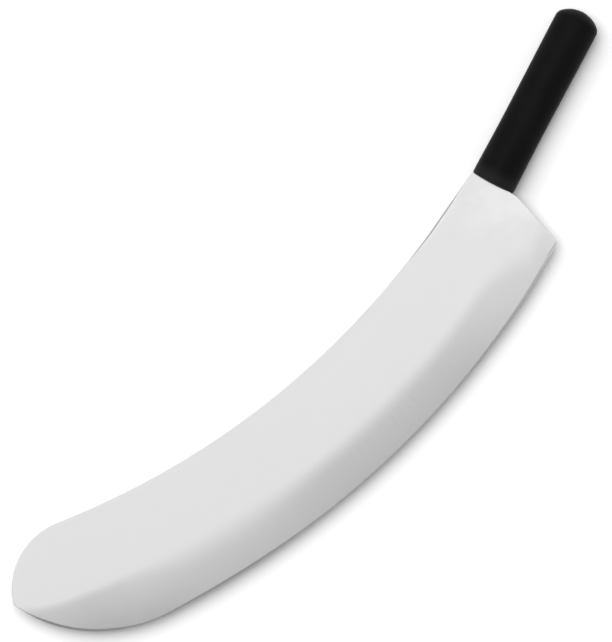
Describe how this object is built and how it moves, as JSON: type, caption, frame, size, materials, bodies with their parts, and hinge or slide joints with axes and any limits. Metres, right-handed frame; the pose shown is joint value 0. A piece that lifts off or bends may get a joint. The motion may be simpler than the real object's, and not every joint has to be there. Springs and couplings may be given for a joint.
{
  "type": "chopping knife",
  "caption": "Chopping knife with a wide upswept curved blade, ground bevels and a rounded point, on a plain oval moulded handle with a domed butt.",
  "frame": {"origin": "under the middle of the knife as it lies on its side, level with the lowest line of the handle", "axes": "+X along the handle from the blade towards the butt, +Y from the cutting edge towards the spine, +Z square to the blade's flat"},
  "size_m": [0.5324, 0.2212, 0.022],
  "materials": {
    "blade_steel": "satin ground, finer on the flat than on the bevel",
    "handle_plastic": "fine moulded texture, low sheen"
  },
  "bodies": {
    "root": {"blade": "blade_steel", "handle": "handle_plastic"}
  },
  "joints": []
}
